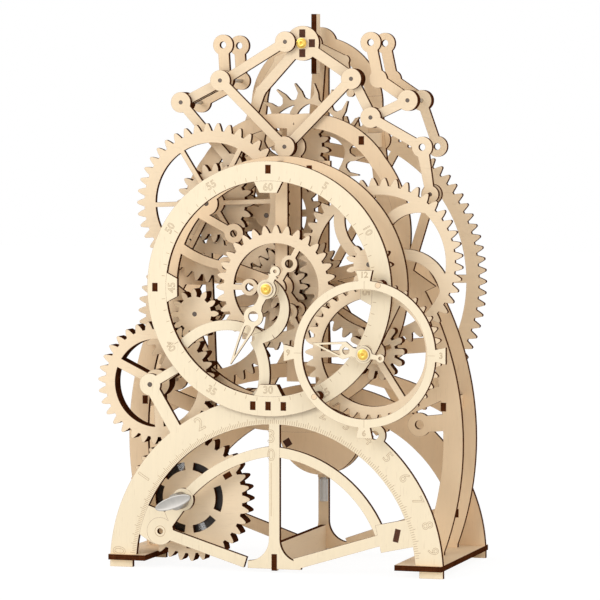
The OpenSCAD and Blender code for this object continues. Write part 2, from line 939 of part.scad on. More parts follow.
module third_arbor() {
    color(steel) rod(third, arbor_r, d_front_plate, d_middle + ply + snug);
}

module third_pinion() {
    color(wood) sheet(d_third + ply + snug, pin_thick) at(third) pinion(z_third_pin, ph_third);
}

module third_wheel() {
    color(wood) sheet(d_third) at(third) wheel(z_third, ph_third_w, 6, 2.6, rim = rim_w + 1);
}

d_minute_hand = -0.5 - 1 - hand_t;

module centre_arbor() {
    color(steel) rod(centre, arbor_r, d_minute_hand, d_back);
}

// Arm of the centre gear: a tapering spoke with a ring in it
module ring_arm(reach) {
    translate([4, -1.5]) square([reach - 4, 3]);
    translate([15, 0]) circle(4.6);
}

module centre_gear() {
    inner = 24;
    color(wood) sheet(d_centre) at(centre) rotate(ph_centre) difference() {
        polygon(gear_points(z_centre));
        difference() {
            circle(inner);
            circle(5.5);
            for (k = [0:2]) rotate(k * 120 + 60) difference() {
                ring_arm(inner + 1);
                translate([15, 0]) circle(2.3);
            }
        }
        circle(arbor_r);
    }
}

module motion_pinion() {
    color(wood) sheet(d_motion - pin_over, pin_thick) at(centre) pinion(z_small, ph_motion_pin);
}

module drive_pinion() {
    color(wood) sheet(d_third - pin_over, pin_thick) at(centre) pinion(z_drive, ph_drive);
}

module train_wheel() {
    color(wood_shade) sheet(d_train) at(centre) wheel(z_train, ph_train, 4, 4, rim = rim_w - 1);
}

rear_spokes = 6;

module rear_wheel() {
    color(wood_shade) sheet(d_rear_wheel) at(centre)
        wheel(z_rear, 0, rear_spokes, 4.5, rim = 7, hub = 9);
}

minute_slope = 243.5;

// Pierced hand: hub, ring and a slim loop that ends in a point; the tail carries a small ring
module minute_hand() {
    color(wood) sheet(d_minute_hand, hand_t) at(centre) rotate(minute_slope) difference() {
        union() {
            circle(3.6);
            translate([16.5, 0]) circle(4.8);
            translate([0, -2]) square([14, 4]);
            polygon([[18, -3], [26, -3.6], [33, -2.8], [47, -0.35], [47, 0.35], [33, 2.8], [26, 3.6],
                     [18, 3]]);
            translate([-11, 0]) circle(2.6);
            translate([-10, -1.2]) square([10, 2.4]);
        }
        circle(arbor_r);
        translate([16.5, 0]) circle(2.6);
        polygon([[24, 0], [26, -2.2], [32, -1.6], [41, 0], [32, 1.6], [26, 2.2]]);
        translate([-11, 0]) circle(1.1);
    }
}

module minute_cap() {
    color(brass) rod(centre, 2.6, d_minute_hand - cap_t, d_minute_hand);
}

module motion_arbor() {
    color(steel) rod(motion, arbor_r, d_front_arch + ply, d_middle + ply + snug);
}

module motion_wheel() {
    color(wood) sheet(d_motion) at(motion)
        curved_wheel(z_motion, ph_motion, 5, 6, 0.3, rim = rim_w - 0.5, hub = hub_r + 2);
}

module front_pinion() {
    color(wood) sheet(d_front_gear - pin_over, pin_thick) at(motion) pinion(z_front_pin, ph_front_pin);
}

module hour_arbor() {
    color(steel) rod(hour, arbor_r, d_hour_hand, d_front_plate + ply + snug);
}

module hour_wheel() {
    color(wood) sheet(d_front_gear) at(hour) wheel(z_hour, ph_hour, 3, 3.6, rim = 4.5);
}

// Two-ply finger wheel with rounded teeth, turned by hand to set the hour
module finger_wheel() {
    fingers = 14;
    color(wood_shade) sheet(d_centre, 2 * ply) at(hour) difference() {
        union() {
            circle(10.5);
            for (k = [0:fingers - 1]) rotate(k * 360 / fingers) {
                translate([8, -1.7]) square([6, 3.4]);
                translate([14, 0]) circle(1.7, $fn = 24);
            }
        }
        circle(arbor_r);
        for (k = [0:3]) rotate(k * 90 + 20) translate([6, 0]) square([5, 2.2], center = true);
    }
}

hour_slope = 169;

module hour_hand() {
    color(wood) sheet(d_hour_hand, hand_t) at(hour) rotate(hour_slope) difference() {
        union() {
            circle(3.6);
            translate([0, -1.6]) square([9, 3.2]);
            translate([9.5, 0]) circle(3.4);
            polygon([[10, -2.4], [16, -3.2], [30, -0.35], [30, 0.35], [16, 3.2], [10, 2.4]]);
            translate([-9.5, 0]) circle(2.3);
            translate([-9, -1]) square([9, 2]);
        }
        circle(arbor_r);
        translate([9.5, 0]) circle(1.9);
        polygon([[14, 0], [16.5, -1.9], [25, 0], [16.5, 1.9]]);
        translate([-9.5, 0]) circle(1);
    }
}

module hour_cap() {
    color(brass) rod(hour, 2.6, d_front, d_hour_hand);
}

module fourth_arbor() {
    color(steel) rod(fourth, arbor_r, d_middle, d_rear_plate + ply + snug);
}

module fourth_pinion() {
    color(wood) sheet(d_train - snug, pin_thick) at(fourth) pinion(z_train_pin, ph_fourth);
}

module fourth_wheel() {
    color(wood_shade) sheet(d_fourth) at(fourth) wheel(z_train, ph_fourth_w, 4, 4, rim = rim_w - 1);
}

module escape_arbor() {
    color(steel) rod(escape, arbor_r, d_middle + snug, d_rear_plate + ply + snug);
}

module escape_pinion() {
    color(wood) sheet(d_fourth - pin_over, pin_thick) at(escape) pinion(z_train_pin, ph_escape);
}

escape_root = 26.5;
escape_rim = 3;
escape_lean = 6.5;

// Escape wheel: slender raked teeth on a narrow rim, four bent spokes
module escape_wheel() {
    step = 360 / escape_z;
    pts = [for (k = [0:escape_z - 1], p = [
        [escape_root + 0.5, 0], [escape_root + 4, 3], [escape_ro, escape_lean + 2.2],
        [escape_ro - 0.3, escape_lean + 3.2], [escape_root + 3, 7.2], [escape_root, 10],
        [escape_root - 0.5, 14]]) polar(p[0], p[1] + k * step)];
    reach = escape_root - 2;
    color(wood) sheet(d_escape) at(escape) difference() {
        polygon(pts);
        difference() {
            circle(escape_root - escape_rim);
            circle(5);
            for (k = [0:3]) rotate(k * 90) intersection() {
                translate([reach / 2, -6]) difference() {
                    circle(norm([reach / 2, 6]) + 2);
                    circle(norm([reach / 2, 6]) - 2);
                }
                translate([0, -5]) square([reach, reach]);
            }
        }
        circle(arbor_r);
    }
}

// Pendulum, hung from the crown's arbor

module pendulum_arbor() {
    color(steel) rod(pend, arbor_r, d_bracket - 1.5, d_pend + ply);
    color(brass) rod(pend, 2.6, d_bracket - 1.5 - cap_t, d_bracket - 1.5);
}

pallet_r = escape_ro + pallet_gap;
pallet_a = 42;

module anchor() {
    color(wood) sheet(d_escape) difference() {
        union() {
            disc(pend, 6);
            for (s = [-1, 1]) {
                tip = escape + polar(pallet_r + 1.5, 90 + s * pallet_a);
                shoulder = pend + [s * -19, -9];
                bar(pend, shoulder, 5);
                disc(shoulder, 2.8);
                bar(shoulder, tip, 4);
                disc(tip, 2.2);
            }
        }
        disc(pend, arbor_r);
    }
}

cross_h = 33;

// Upright cross plate on the pendulum's arbor
module pendulum_crossbar() {
    color(wood) at_3d(pend, d_cross) difference() {
        translate([-ply / 2, 0, -cross_h / 2]) cube([ply, cross_t, cross_h]);
        rotate([-90, 0, 0]) translate([0, 0, -1]) cylinder(r = arbor_r, h = cross_t + 2);
    }
}

ring_clear = 10.5;

module pendulum_rod() {
    bob = pend - [0, pend_len];
    color(wood_shade) sheet(d_pend) difference() {
        union() {
            disc(pend, 7);
            bar(pend, [pend[0], centre_z], 6);
            disc(centre, ring_clear + 4.5);
            bar([pend[0], centre_z], bob - [0, 17.5], 6);
        }
        disc(pend, arbor_r);
        disc(centre, ring_clear);
    }
}

bob_r = 23.5;
bob_up = 8;
bob_tenon = [19, -6];

// Round bob: face and backing plies in front of the rod, a thinner ply behind it
module pendulum_bob() {
    bob = pend - [0, pend_len - bob_up];
    color(wood_shade) {
        sheet(d_pend - 2 * ply) difference() {
            disc(bob, bob_r, $fn = 96);
            bob_holes(bob);
        }
        sheet(d_pend - ply) difference() {
            disc(bob, bob_r - 1.5);
            bob_holes(bob);
        }
        sheet(d_pend + ply, ply - 0.6) disc(bob, bob_r);
        for (s = [-1, 1]) sheet(d_pend - 2 * ply, 3 * ply)
            translate(bob + [s * bob_tenon[0], bob_tenon[1]]) rotate(32) square(4.2, center = true);
    }
}

module bob_holes(bob) {
    for (s = [-1, 1]) translate(bob + [s * bob_tenon[0], bob_tenon[1]]) rotate(32)
        square(4.2, center = true);
}

// Steel weight screwed up against the rod's lower end
module rating_weight() {
    bob = pend - [0, pend_len];
    color(steel) at_3d(bob, d_pend + ply / 2) {
        translate([0, 0, -31]) cylinder(r = 2.4, h = 12.5);
        translate([0, 0, -18.5]) cylinder(r = 1.4, h = 1);
    }
}

minute_dial();
hour_dial();
dial_posts();
front_arch();
front_bridge();
front_plate();
middle_plate();
rear_plate();
rear_arch();
base_rails();
plate_spacers();
top_bracket();
wing_rod();
wing_struts();
wing_links();
crest_plates();
wing_pins();
winding_key();
winding_arbor();
barrel_wheel();
barrel_drum();
mainspring();
great_arbor();
great_wheel();
second_arbor();
second_pinion();
second_wheel();
third_arbor();
third_pinion();
third_wheel();
centre_arbor();
centre_gear();
motion_pinion();
drive_pinion();
train_wheel();
rear_wheel();
minute_hand();
minute_cap();
motion_arbor();
motion_wheel();
front_pinion();
hour_arbor();
hour_wheel();
finger_wheel();
hour_hand();
hour_cap();
fourth_arbor();
fourth_pinion();
fourth_wheel();
escape_arbor();
escape_pinion();
escape_wheel();
pendulum_arbor();
anchor();
pendulum_crossbar();
pendulum_rod();
pendulum_bob();
rating_weight();
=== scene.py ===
# %% [markdown]
# # A skeleton clock cut from birch plywood
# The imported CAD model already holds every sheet, wheel and arbor in its true place. This script gives
# those parts their surfaces, adds what a laser engraves on them, and sets up the studio around them.

# %% Load the fixed frame
import math

import bmesh
import bpy
from mathutils import Matrix, Vector


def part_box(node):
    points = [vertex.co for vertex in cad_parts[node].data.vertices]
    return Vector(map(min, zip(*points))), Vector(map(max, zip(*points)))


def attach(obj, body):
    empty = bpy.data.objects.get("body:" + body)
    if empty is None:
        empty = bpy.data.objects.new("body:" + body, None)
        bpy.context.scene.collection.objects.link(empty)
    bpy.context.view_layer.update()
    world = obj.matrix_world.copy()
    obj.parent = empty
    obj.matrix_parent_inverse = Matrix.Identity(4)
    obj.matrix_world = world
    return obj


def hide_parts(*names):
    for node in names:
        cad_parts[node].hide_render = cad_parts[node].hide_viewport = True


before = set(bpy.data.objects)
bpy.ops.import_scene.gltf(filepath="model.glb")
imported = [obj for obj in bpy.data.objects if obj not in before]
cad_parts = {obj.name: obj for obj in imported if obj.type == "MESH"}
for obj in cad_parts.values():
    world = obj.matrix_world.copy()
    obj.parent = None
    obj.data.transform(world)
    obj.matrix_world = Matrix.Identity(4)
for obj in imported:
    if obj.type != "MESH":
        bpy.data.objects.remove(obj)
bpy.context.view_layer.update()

# %% [markdown]
# ## Measures
# A clockmaker measures from the minute arbor, the dial's face and the table, in millimetres. Blender
# works in metres from the middle of the model. Two small functions turn the first into the second, so
# that every number further down can be checked against the clock.

# %% Places measured from the dial
MM = 0.001
# Where the frame's origin lies in the clockmaker's measures.
X_MID = -0.51766
Y_MID = 49.625


def place(x, d, z):
    """Point in metres from x right of the minute arbor, d behind the dial's face and z above the table."""
    return Vector(((x - X_MID) * MM, (d - Y_MID) * MM, z * MM))


def placed(middle, d, slope):
    """Matrix that moves a shape to the x and z of middle at depth d, turned anticlockwise by slope."""
    where = place(middle[0], d, middle[1])
    return Matrix.Translation(where) @ Matrix.Rotation(-math.radians(slope), 4, "Y")


UPRIGHT = Matrix.Rotation(math.radians(90), 4, "X")
CENTRE = (0, 153.3)
HOUR = (56.4647, 119.9069)
BARREL = (-49.6216, 37.8415)
print("minute arbor at", [round(v, 4) for v in place(CENTRE[0], 0, CENTRE[1])])

# %% [markdown]
# ## Camera
# The photograph was taken from far away with a long lens, about 17 degrees to the right of the dials
# and a little below the top of the clock. A long lens keeps the rings round and the sheets parallel.

# %% Camera at the photograph's angle
IMAGE_PX = 600
FOCAL_PX = 3600
HORIZON_PX = 199
SENSOR_MM = 36
STANDPOINT = (579.7, -1839.1, 254)
AHEAD = (-0.292, 0.956)
camera_data = bpy.data.cameras.new("camera")
camera_data.sensor_width = SENSOR_MM
camera_data.lens = FOCAL_PX / IMAGE_PX * SENSOR_MM
camera = bpy.data.objects.new("camera", camera_data)
bpy.context.scene.collection.objects.link(camera)
camera.location = place(*STANDPOINT)
forward = Vector((*AHEAD, -HORIZON_PX / FOCAL_PX))
camera.rotation_euler = forward.to_track_quat("-Z", "Y").to_euler()
bpy.context.scene.camera = camera
dial_middle = place(CENTRE[0], 0, CENTRE[1])
print("camera stands", round((camera.location - dial_middle).length, 3), "m from the dial")

# %% [markdown]
# ## Shader maths as Python
# A material is a small calculation on every point of a surface. The classes below wrap one node tree
# and one output socket, so that sums and products of sockets can be written as plain expressions.


# %% A socket that can be added, multiplied and mixed
class Sheet:
    """The node tree of a material or of the world, and the one method that adds a node to it."""

    def __init__(self, name, shelf=bpy.data.materials, output="OutputMaterial"):
        self.owner = shelf.new(name)
        self.owner.use_nodes = True
        self.tree = self.owner.node_tree
        self.tree.nodes.clear()
        self.out = self.tree.nodes.new("ShaderNode" + output)

    def node(self, kind, settings=None, values=None, output=0):
        """Add a node: its settings first, then the values or links of its sockets."""
        n = self.tree.nodes.new("ShaderNode" + kind)
        for key, value in (settings or {}).items():
            setattr(n, key, value)
        for key, value in (values or {}).items():
            if isinstance(value, Wire):
                self.tree.links.new(value.socket, n.inputs[key])
            else:
                n.inputs[key].default_value = value
        return Wire(self, n.outputs[output])

    def spot(self):
        """Where on the piece a point lies, in metres."""
        return self.node("TexCoord", output="Object")

    def facing(self):
        """The way in which the mesh itself faces there."""
        return self.node("NewGeometry", output="True Normal")

    def surface(self, shader):
        """Lead the shader to the output, and give back the material or the world."""
        self.tree.links.new(shader.socket, self.out.inputs["Surface"])
        return self.owner

    def between(self, mask, low, high):
        """The low shader where the mask is 0 and the high shader where it is 1."""
        return self.surface(self.node("MixShader", {}, {0: mask, 1: low, 2: high}))


class Wire:
    """An output socket that takes part in Python sums."""

    def __init__(self, sheet, socket):
        self.sheet = sheet
        self.socket = socket

    def math(self, operation, *others):
        return self.sheet.node("Math", {"operation": operation}, dict(enumerate((self, *others))))

    def __add__(self, other):
        return self.math("ADD", other)

    def __mul__(self, other):
        return self.math("MULTIPLY", other)

    def __sub__(self, other):
        return self.math("SUBTRACT", other)

    def __rsub__(self, other):
        return self.sheet.node("Math", {"operation": "SUBTRACT"}, {0: other, 1: self})

    def size(self):
        """The value without its sign."""
        return self.math("ABSOLUTE")

    def above(self, edge, soft=0.0):
        """0 below the edge and 1 above it, with a ramp of the given width."""
        if not soft:
            return self.math("GREATER_THAN", edge)
        values = {"Value": self, "From Min": edge - soft / 2, "From Max": edge + soft / 2}
        return self.sheet.node("MapRange", {"clamp": True}, values)

    def of(self, axis):
        return self.sheet.node("SeparateXYZ", {}, {0: self}, output=axis)

    def scaled(self, x, y, z):
        return self.sheet.node("VectorMath", {"operation": "MULTIPLY"}, {0: self, 1: (x, y, z)})

    def noise(self, detail=2.0, scale=1.0, roughness=0.5):
        values = {"Vector": self, "Scale": scale, "Detail": detail, "Roughness": roughness}
        return self.sheet.node("TexNoise", {}, values)

    __radd__ = __add__
    __rmul__ = __mul__


# %% Colours mixed and toned
MIX_LOW, MIX_HIGH, MIX_COLOUR = 6, 7, 2


def mix(sheet, mask, low, high, blend="MIX"):
    """Colour between low and high, or a blend of high over low, by the mask."""
    low, high = (c if isinstance(c, Wire) else (*c, 1) for c in (low, high))
    settings = {"data_type": "RGBA", "blend_type": blend}
    return sheet.node("Mix", settings, {0: mask, MIX_LOW: low, MIX_HIGH: high}, output=MIX_COLOUR)


def toned(sheet, colour, tone):
    """The colour made lighter or darker by a tone around 1."""
    grey = sheet.node("CombineXYZ", {}, {0: tone, 1: tone, 2: tone})
    return mix(sheet, 1.0, colour, grey, "MULTIPLY")


print("shader helpers ready")

# %% [markdown]
# ## Birch plywood
# The faces stay pale, with faint fibres and short flecks. The walls of every cut are scorched brown,
# darker in the glue lines between the plies, and smoke leaves a hair-wide toasted rim on the face
# beside each cut. The Bevel node finds that rim: close to a cut it leans the normal over, although the
# mesh stays sharp.

# %% Plywood material
SCORCH_DARK = (0.024, 0.006, 0.002)
SCORCH_WARM = (0.125, 0.036, 0.012)
TOASTED = (0.255, 0.105, 0.045)
FLECK = (0.42, 0.26, 0.13)
PLY = 1.0 * MM
RIM_WIDTH, RIM_STRENGTH = 0.36 * MM, 0.82
BEVEL_SAMPLES = {"samples": 6}
FACE_EDGE = 0.7
LEAN_EDGE = 0.93
STAY_REACH = 0.01
# Spots to the metre; fibres and char are drawn out along the axis that has the fewest.
CHAR_FINE, CHAR_LONG, SMOKE = 2600, 90, 260
CLOUDS = (14, 9, 11)
UPRIGHT_GRAIN = (520, 520, 42)
LEVEL_GRAIN = (42, 520, 520)
RAIL_GRAIN = (520, 36, 520)


def birch(name, face, ply_axis, grain, upright_at=None):
    """Plywood whose sheets lie across ply_axis, its fibres drawn out along the axis with the least grain.

    Where a node also holds a sheet that stands across X, upright_at is that sheet's place on X in metres.
    """
    s = Sheet(name)
    spot = s.spot()
    facing = s.facing()
    rounded = s.node("Bevel", BEVEL_SAMPLES, {"Radius": RIM_WIDTH})
    across, softened = facing.of(ply_axis).size(), rounded.of(ply_axis).size()
    if upright_at is not None:
        upright = 1.0 - (spot.of(0) - upright_at).size().above(STAY_REACH)
        across = across * (1.0 - upright) + facing.of(0).size() * upright
        softened = softened * (1.0 - upright) + rounded.of(0).size() * upright

    fibres = spot.scaled(*grain).noise(4.0, roughness=0.62)
    clouds = spot.scaled(*CLOUDS).noise()
    flecks = spot.scaled(*(g * 1.9 for g in grain)).noise(1.0, scale=1.7).above(0.70, 0.05)
    pale = toned(s, face, (fibres - 0.5) * 0.09 + (clouds - 0.5) * 0.08 + 1.0)
    pale = mix(s, flecks * 0.12, pale, FLECK)
    near_cut = 1.0 - softened.above(LEAN_EDGE, 0.13)
    toasted = mix(s, near_cut * RIM_STRENGTH, pale, TOASTED)

    glue = (spot.of(ply_axis) * (math.tau / PLY)).math("SINE").above(0.55, 0.8)
    char = spot.scaled(*(CHAR_LONG if axis == ply_axis else CHAR_FINE for axis in range(3))).noise()
    smoke = spot.scaled(SMOKE, SMOKE, SMOKE).noise()
    burn = glue * 0.35 + (char - 0.5) * 0.7 + (smoke - 0.5) * 0.9 + 0.42
    burn = burn.math("MAXIMUM", 0.0).math("MINIMUM", 1.0)
    wall = mix(s, burn, SCORCH_WARM, SCORCH_DARK)

    charred = {"Base Color": wall, "Roughness": 0.9, "Specular IOR Level": 0.0}
    sanded = {"Base Color": toasted, "Roughness": fibres * 0.12 + 0.52, "Specular IOR Level": 0.25,
              "Normal": s.node("Bump", {}, {"Strength": 0.18, "Distance": 0.2 * MM, "Height": fibres})}
    shaders = [s.node("BsdfPrincipled", {}, values) for values in (charred, sanded)]
    return s.between(across.above(FACE_EDGE), *shaders)


# Painted shade: one birch plywood in three tones. The front sheets are cream, the wheels a darker honey,
# and the sheets, rails and bars further back a darker tan. The darker tones stand for the shade between
# the layers.
CREAM = (0.915, 0.790, 0.580)
HALF_SHADED_HONEY = (0.905, 0.730, 0.515)
SHADED_TAN = (0.885, 0.680, 0.455)
STAY_X = place(2.5, 0, 0).x
birch_dial = birch("birch_dial", CREAM, 1, UPRIGHT_GRAIN)
birch_sheet = birch("birch_sheet", SHADED_TAN, 1, UPRIGHT_GRAIN)
birch_wheel = birch("birch_wheel", HALF_SHADED_HONEY, 1, LEVEL_GRAIN)
birch_rail = birch("birch_rail", SHADED_TAN, 2, RAIL_GRAIN, upright_at=STAY_X)
birch_bar = birch("birch_bar", SHADED_TAN, 0, RAIL_GRAIN)
print("plywood materials:", birch_dial.name, birch_sheet.name, birch_wheel.name)

# %% [markdown]
# ## Metal
# The arbors and pins are bright drawn steel, the key is a stamped steel plate, and the three caps on
# the dial side are polished brass.

# %% Metal materials
SMUDGE = 160
# Painted shade: the ring width and the two end colours below stand for the shade of the holes that the rod
# ends sit in. The dull colour is partly the cut steel's own and partly painted shade; the dark ring is
# painted shadow.
SHADOW_RING_WIDTH = 0.5 * MM
SAWN_DULL_AND_SHADE = (0.10, 0.075, 0.058)
HOLE_PAINTED_SHADOW = (0.020, 0.014, 0.010)


def metal(name, colour, rough, streaks, sawn_shaded_ends=False):
    """Drawn or turned metal with fine streaks; with shaded ends, a rod's flat ends are dull and darkened
    as painted shade of the holes they sit in, inside a ring of painted shadow.
    """
    s = Sheet(name)
    spot = s.spot()
    lines = spot.scaled(*streaks).noise(3.0)
    smudge = spot.scaled(SMUDGE, SMUDGE, SMUDGE).noise()
    shade = toned(s, colour, (lines - 0.5) * 0.22 + (smudge - 0.5) * 0.12 + 1.0)
    if sawn_shaded_ends:
        # Painted shade: each flat end is made dull and darker, as if sunk in its hole, and a thin dark
        # ring of painted shadow stands for the hole's wall round it.
        end = s.facing().of(1).size().above(FACE_EDGE)
        rounded = s.node("Bevel", BEVEL_SAMPLES, {"Radius": SHADOW_RING_WIDTH})
        ring = 1.0 - rounded.of(1).size().above(LEAN_EDGE, 0.1)
        shade = mix(s, end * 0.9, shade, SAWN_DULL_AND_SHADE)
        shade = mix(s, end * ring, shade, HOLE_PAINTED_SHADOW)
    bump = s.node("Bump", {}, {"Strength": 0.12, "Distance": 0.1 * MM, "Height": lines})
    values = {"Base Color": shade, "Metallic": 1.0, "Roughness": smudge * 0.15 + rough, "Normal": bump}
    return s.surface(s.node("BsdfPrincipled", {}, values))


steel = metal("bright_steel", (0.50, 0.49, 0.48), 0.32, (2400, 60, 2400), sawn_shaded_ends=True)
key_steel = metal("key_steel", (0.47, 0.45, 0.42), 0.45, (700, 250, 250))
spring_steel = metal("spring_steel", (0.075, 0.065, 0.060), 0.42, (700, 60, 700))
brass = metal("polished_brass", (0.86, 0.58, 0.13), 0.24, (900, 900, 900))
print("metal materials:", steel.name, key_steel.name, spring_steel.name, brass.name)

# %% [markdown]
# ## Dress the CAD parts
# Each part keeps its mesh. Only the material in its slots changes, chosen by what it is cut from.

# %% Assign materials to the CAD nodes
FRONT_SHEETS = ("minute_dial", "hour_dial", "front_arch", "front_bridge", "minute_hand", "hour_hand")
CROSS_BARS = ("plate_spacers", "pendulum_crossbar", "barrel_drum")
WHEELS = ("wheel", "gear", "pinion", "anchor")
for name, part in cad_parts.items():
    if name.endswith("_cap"):
        finish = brass
    elif name in ("winding_key", "rating_weight"):
        finish = key_steel
    elif name == "mainspring":
        finish = spring_steel
    elif name.endswith("_arbor") or name == "wing_pins":
        finish = steel
    elif name == "base_rails":
        finish = birch_rail
    elif name in CROSS_BARS:
        finish = birch_bar
    elif name in FRONT_SHEETS:
        finish = birch_dial
    elif name.endswith(WHEELS) or name.startswith("wing") or name == "top_bracket":
        finish = birch_wheel
    else:
        finish = birch_sheet
    part.data.materials.clear()
    part.data.materials.append(finish)
print("parts dressed:", len(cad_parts))

# %% [markdown]
# ## Brass caps
# A small spun cap holds each hand and the crest. It is a shape turned on a lathe: a profile of a few
# points is drawn once, from the centre outwards, and spun about the arbor. The dimple in the middle and
# the groove above the flange catch the light, and a plain disc has neither.

# %% Helpers for new pieces
MERGE = 0.001 * MM
SPIN_STEPS = 48
SHARP_ANGLE = 35


def joined(*parts):
    """One bmesh of several, which are freed."""
    whole = bmesh.new()
    for part in parts:
        data = bpy.data.meshes.new("part")
        part.to_mesh(data)
        part.free()
        whole.from_mesh(data)
        bpy.data.meshes.remove(data)
    return whole


def turned(profiles, middle):
    """Solids of revolution about the arbor at middle, each with a material slot of its own.

    A profile lists radius and depth, from the axis outwards and back to the axis.
    """
    x, z = middle
    parts = []
    for slot, profile in enumerate(profiles):
        part = bmesh.new()
        points = [part.verts.new(place(x + r, d, z)) for r, d in profile]
        lines = [part.edges.new(pair) for pair in zip(points, points[1:])]
        bmesh.ops.spin(part, geom=points + lines, cent=place(x, 0, z), axis=(0, 1, 0),
                       angle=math.tau, steps=SPIN_STEPS, use_merge=True)
        bmesh.ops.remove_doubles(part, verts=part.verts, dist=MERGE)
        bmesh.ops.recalc_face_normals(part, faces=part.faces)
        for face in part.faces:
            face.material_index = slot
        parts.append(part)
    return joined(*parts)


def object_of(mesh, name, finishes):
    """Object made of the bmesh, which is freed, with one material slot for each finish."""
    data = bpy.data.meshes.new(name)
    mesh.to_mesh(data)
    mesh.free()
    for finish in finishes:
        data.materials.append(finish)
    piece = bpy.data.objects.new(name, data)
    bpy.context.scene.collection.objects.link(piece)
    print(name, "has", len(data.polygons), "faces")
    return piece


def stand_for(mesh, node, body, finishes):
    """Make an object of the mesh that rides on the body and stands for the CAD node."""
    piece = object_of(mesh, node + "_detail", finishes)
    piece.data.shade_smooth()
    piece.data.set_sharp_from_angle(angle=math.radians(SHARP_ANGLE))
    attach(piece, body)
    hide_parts(node)


def cap_profile(seat):
    """Profile of a spun cap that sits on the depth called seat."""
    shape = ((0, -0.52), (0.30, -0.55), (0.55, -0.92), (0.90, -1.22), (1.40, -1.30), (1.90, -1.18),
             (2.25, -0.88), (2.40, -0.50), (2.78, -0.42), (2.88, -0.20), (2.80, 0), (0, 0))
    return [(r, seat + d) for r, d in shape]


# %% Caps on the two hands
MINUTE_HAND, HOUR_HAND = -3, -11.75
WASHER = 0.7
stand_for(turned([cap_profile(MINUTE_HAND - WASHER)], CENTRE), "minute_cap", "centre_body", [brass])
stand_for(turned([cap_profile(HOUR_HAND - WASHER)], HOUR), "hour_cap", "hour_body", [brass])

# %% Crest arbor with its cap
CREST, CREST_SEAT = (4, 285.5), 48.5
ARBOR_R, ARBOR_END, CHAMFER = 1.25, 93, 0.2
arbor_shape = [(0, CREST_SEAT), (ARBOR_R, CREST_SEAT), (ARBOR_R, ARBOR_END - CHAMFER),
               (ARBOR_R - CHAMFER, ARBOR_END), (0, ARBOR_END)]
crest_arbor = turned([cap_profile(CREST_SEAT), arbor_shape], CREST)
stand_for(crest_arbor, "pendulum_arbor", "pendulum_body", [brass, steel])

# %% [markdown]
# ## Winding key
# The key is a round shank with an oval thumb plate pressed from sheet steel. The plate starts as a capped
# circle, squeezed to an oval and drawn out. Three insets of its front face leave a raised border round a
# flat field, as a press does.


# %% Winding key
def extruded(mesh, face):
    """Extrude one face, and give back the new face, which still lies where the old one was."""
    grown = bmesh.ops.extrude_face_region(mesh, geom=[face])["geom"]
    return [g for g in grown if isinstance(g, bmesh.types.BMFace)][0]


KEY_HALF, KEY_SLIM, KEY_TILT = 10.5, 0.31, 20
PLATE_BACK, PLATE_THICK = -11.45, 2.0
PRESSED = ((0.30, 0.15), (0.30, 0), (0.25, -0.15))
plate = bmesh.new()
bmesh.ops.create_circle(plate, cap_ends=True, segments=64, radius=KEY_HALF * MM)
bmesh.ops.scale(plate, vec=(1, KEY_SLIM, 1), verts=plate.verts)
front = extruded(plate, plate.faces[:][0])
bmesh.ops.translate(plate, vec=(0, 0, PLATE_THICK * MM), verts=front.verts)
for border, rise in PRESSED:
    bmesh.ops.inset_region(plate, faces=[front], thickness=border * MM, depth=rise * MM)
bmesh.ops.recalc_face_normals(plate, faces=plate.faces)
plate.transform(placed(BARREL, PLATE_BACK, KEY_TILT) @ UPRIGHT)
shank = turned([[(0, -11.6), (2.6, -11.6), (3.2, -10.8), (4.3, -9.2), (4.6, -8.6), (4.6, 0.5),
                 (4.3, 0.8), (3.05, 0.8), (3.05, -8.2), (0, -8.2)]], BARREL)
stand_for(joined(plate, shank), "winding_key", "winder", [key_steel])

# %% [markdown]
# ## Mainspring
# A real spring of this size has about forty turns, so thin that a CAD solid of it would be too heavy.
# It could be a curve with a profile, but a strip keeps its flat side towards the arbor. So one small face,
# the strip's cut end, is extruded step by step: each step turns it about the arbor and moves it outwards.

# %% Mainspring
SPRING_IN, SPRING_OUT, SPRING_THICK = 3.9, 20.0, 0.30
SPRING_TURNS, STEPS_A_TURN = 36, 40
GROWTH = (SPRING_OUT - SPRING_IN - SPRING_THICK) * MM / (SPRING_TURNS * STEPS_A_TURN)
spring_low, spring_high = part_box("mainspring")
spring_axis = place(BARREL[0], 0, BARREL[1])
one_step = Matrix.Rotation(-math.tau / STEPS_A_TURN, 3, "Y")
outwards = Vector((1, 0, 0))
coil = bmesh.new()
corners = [coil.verts.new((spring_axis.x + r * MM, y, spring_axis.z)) for r, y in (
    (SPRING_IN, spring_low[1]), (SPRING_IN, spring_high[1]),
    (SPRING_IN + SPRING_THICK, spring_high[1]), (SPRING_IN + SPRING_THICK, spring_low[1]))]
strip_end = coil.faces.new(corners)
for step in range(SPRING_TURNS * STEPS_A_TURN):
    # Extruding leaves the old face inside the strip, and only the first one is a real end.
    inside = [strip_end] if step else []
    strip_end = extruded(coil, strip_end)
    bmesh.ops.delete(coil, geom=inside, context="FACES_ONLY")
    outwards.rotate(one_step)
    bmesh.ops.rotate(coil, cent=spring_axis, matrix=one_step, verts=strip_end.verts)
    bmesh.ops.translate(coil, vec=outwards * GROWTH, verts=strip_end.verts)
bmesh.ops.recalc_face_normals(coil, faces=coil.faces)
stand_for(coil, "mainspring", "barrel_body", [spring_steel])

# %% [markdown]
# ## Hands
# Each hand is cut from a thinner sheet. Its edge is the outermost of a few discs and tapering necks, so
# one formula gives the half width at each distance from the hub. A filled curve with holes turns that
# outline into a sheet, and a small washer of the same veneer lies under the cap.

# %% Helpers that cut a hand from its outline
EDGE_STEPS, RING_STEPS = 160, 40
HAND_THICK, POINT = 1.5, 0.25


